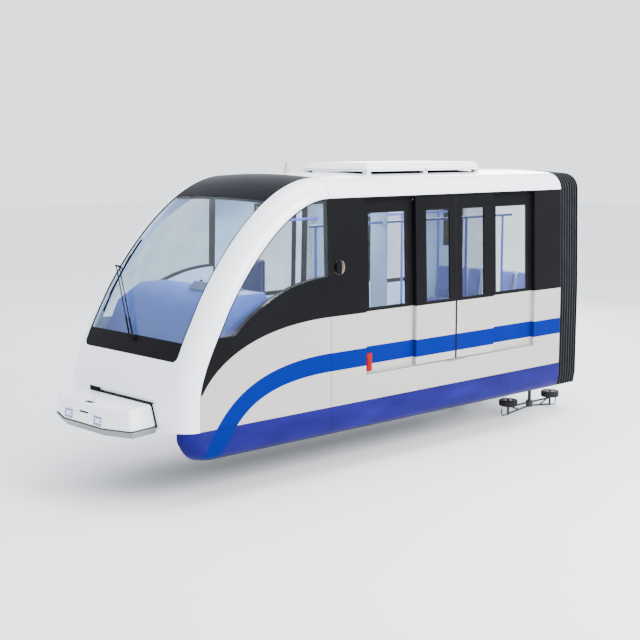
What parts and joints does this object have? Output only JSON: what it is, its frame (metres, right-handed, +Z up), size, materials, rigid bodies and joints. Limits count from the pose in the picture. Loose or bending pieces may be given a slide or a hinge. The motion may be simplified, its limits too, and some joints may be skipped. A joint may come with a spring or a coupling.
{
  "type": "monorail cab car",
  "caption": "Streamlined cab car of a straddle-beam monorail train, with sliding doors, gangway bellows, rubber load tyres and guide wheels on hanging bogie arms.",
  "frame": {"origin": "centre plane, on the beam's running surface under the load tyres, midway between the axles", "axes": "+X towards the gangway end, +Y to the car's right, +Z up"},
  "size_m": [8.1019, 2.3, 3.71],
  "materials": {
    "body_white": "gloss",
    "body_side": "gloss",
    "dark_panel": "gloss",
    "skirt_blue": "gloss",
    "window_glass": "gloss",
    "bellows_cloth": "matte",
    "running_steel": "satin",
    "underside_paint": "satin",
    "tyre_rubber": "matte",
    "wiper_black": "satin",
    "desk_blue": "matte",
    "seat_blue": "matte",
    "rail_blue": "satin",
    "lamp_glass": "gloss",
    "floor_metal": "brushed"
  },
  "bodies": {
    "car_body": {"underframe": "underside_paint", "spine": "underside_paint", "side_wall_left": "body_side", "side_wall_right": "body_side", "cab_side_left": "body_side", "cab_side_right": "body_side", "cab_window_left": "window_glass", "cab_window_right": "window_glass", "nose_shell": "body_white", "windscreen": "window_glass", "windscreen_cap": "dark_panel", "roof_shell": "body_white", "end_wall": "body_side", "skirt_left": "skirt_blue", "skirt_right": "skirt_blue", "saloon_window_front_left": "window_glass", "saloon_window_front_right": "window_glass", "saloon_window_rear_left": "window_glass", "saloon_window_rear_right": "window_glass", "bellows": "bellows_cloth", "gangway_ring": "running_steel", "gangway_floor": "floor_metal", "roof_unit": "body_white", "aerial": "body_white", "coupler_housing": "body_white", "headlamp_left": "lamp_glass", "headlamp_right": "lamp_glass", "wiper": "wiper_black", "cab_desk": "desk_blue", "driver_seat": "seat_blue", "bench_front_left": "seat_blue", "bench_front_right": "seat_blue", "bench_rear_left": "seat_blue", "bench_rear_right": "seat_blue", "grab_rail_left": "rail_blue", "grab_rail_right": "rail_blue"},
    "door_front_left": {"door_leaf_front_left": "body_side", "door_glass_front_left": "window_glass"},
    "door_rear_left": {"door_leaf_rear_left": "body_side", "door_glass_rear_left": "window_glass"},
    "door_front_right": {"door_leaf_front_right": "body_side", "door_glass_front_right": "window_glass"},
    "door_rear_right": {"door_leaf_rear_right": "body_side", "door_glass_rear_right": "window_glass"},
    "bogie_front": {"bogie_front": "running_steel"},
    "wheelset_front": {"axle_front": "running_steel", "load_tyre_front_left": "tyre_rubber", "load_tyre_front_right": "tyre_rubber"},
    "guide_wheel_front_lead_left": {"guide_wheel_front_lead_left": "tyre_rubber"},
    "guide_wheel_front_lead_right": {"guide_wheel_front_lead_right": "tyre_rubber"},
    "guide_wheel_front_trail_left": {"guide_wheel_front_trail_left": "tyre_rubber"},
    "guide_wheel_front_trail_right": {"guide_wheel_front_trail_right": "tyre_rubber"},
    "bogie_rear": {"bogie_rear": "running_steel"},
    "wheelset_rear": {"axle_rear": "running_steel", "load_tyre_rear_left": "tyre_rubber", "load_tyre_rear_right": "tyre_rubber"},
    "guide_wheel_rear_lead_left": {"guide_wheel_rear_lead_left": "tyre_rubber"},
    "guide_wheel_rear_lead_right": {"guide_wheel_rear_lead_right": "tyre_rubber"},
    "guide_wheel_rear_trail_left": {"guide_wheel_rear_trail_left": "tyre_rubber"},
    "guide_wheel_rear_trail_right": {"guide_wheel_rear_trail_right": "tyre_rubber"}
  },
  "joints": [
    {"name": "door_front_left_slide", "type": "slide", "parent": "car_body", "child": "door_front_left", "axis": [-1, 0, 0], "range_m": [0, 0.73]},
    {"name": "door_rear_left_slide", "type": "slide", "parent": "car_body", "child": "door_rear_left", "axis": [1, 0, 0], "range_m": [0, 0.73]},
    {"name": "door_front_right_slide", "type": "slide", "parent": "car_body", "child": "door_front_right", "axis": [-1, 0, 0], "range_m": [0, 0.73]},
    {"name": "door_rear_right_slide", "type": "slide", "parent": "car_body", "child": "door_rear_right", "axis": [1, 0, 0], "range_m": [0, 0.73]},
    {"name": "bogie_front_yaw", "type": "hinge", "parent": "car_body", "child": "bogie_front", "pos_m": [-2.566, 0, 0.4], "axis": [0, 0, 1], "range_deg": [-4, 4]},
    {"name": "wheelset_front_roll", "type": "hinge", "parent": "bogie_front", "child": "wheelset_front", "pos_m": [-2.566, 0, 0.245], "axis": [0, 1, 0], "continuous": true},
    {"name": "guide_wheel_front_lead_left_roll", "type": "hinge", "parent": "bogie_front", "child": "guide_wheel_front_lead_left", "pos_m": [-3.07, -0.485, -0.054], "axis": [0, 0, 1], "continuous": true},
    {"name": "guide_wheel_front_lead_right_roll", "type": "hinge", "parent": "bogie_front", "child": "guide_wheel_front_lead_right", "pos_m": [-3.07, 0.485, -0.054], "axis": [0, 0, 1], "continuous": true},
    {"name": "guide_wheel_front_trail_left_roll", "type": "hinge", "parent": "bogie_front", "child": "guide_wheel_front_trail_left", "pos_m": [-2.062, -0.485, -0.054], "axis": [0, 0, 1], "continuous": true},
    {"name": "guide_wheel_front_trail_right_roll", "type": "hinge", "parent": "bogie_front", "child": "guide_wheel_front_trail_right", "pos_m": [-2.062, 0.485, -0.054], "axis": [0, 0, 1], "continuous": true},
    {"name": "bogie_rear_yaw", "type": "hinge", "parent": "car_body", "child": "bogie_rear", "pos_m": [2.566, 0, 0.4], "axis": [0, 0, -1], "range_deg": [-4, 4]},
    {"name": "wheelset_rear_roll", "type": "hinge", "parent": "bogie_rear", "child": "wheelset_rear", "pos_m": [2.566, 0, 0.245], "axis": [0, 1, 0], "continuous": true},
    {"name": "guide_wheel_rear_lead_left_roll", "type": "hinge", "parent": "bogie_rear", "child": "guide_wheel_rear_lead_left", "pos_m": [2.062, -0.485, -0.398], "axis": [0, 0, 1], "continuous": true},
    {"name": "guide_wheel_rear_lead_right_roll", "type": "hinge", "parent": "bogie_rear", "child": "guide_wheel_rear_lead_right", "pos_m": [2.062, 0.485, -0.398], "axis": [0, 0, 1], "continuous": true},
    {"name": "guide_wheel_rear_trail_left_roll", "type": "hinge", "parent": "bogie_rear", "child": "guide_wheel_rear_trail_left", "pos_m": [3.07, -0.485, -0.398], "axis": [0, 0, 1], "continuous": true},
    {"name": "guide_wheel_rear_trail_right_roll", "type": "hinge", "parent": "bogie_rear", "child": "guide_wheel_rear_trail_right", "pos_m": [3.07, 0.485, -0.398], "axis": [0, 0, 1], "continuous": true}
  ],
  "couplings": [
    {"joint": "door_rear_left_slide", "follows": "door_front_left_slide", "ratio": 1},
    {"joint": "door_rear_right_slide", "follows": "door_front_right_slide", "ratio": 1}
  ]
}
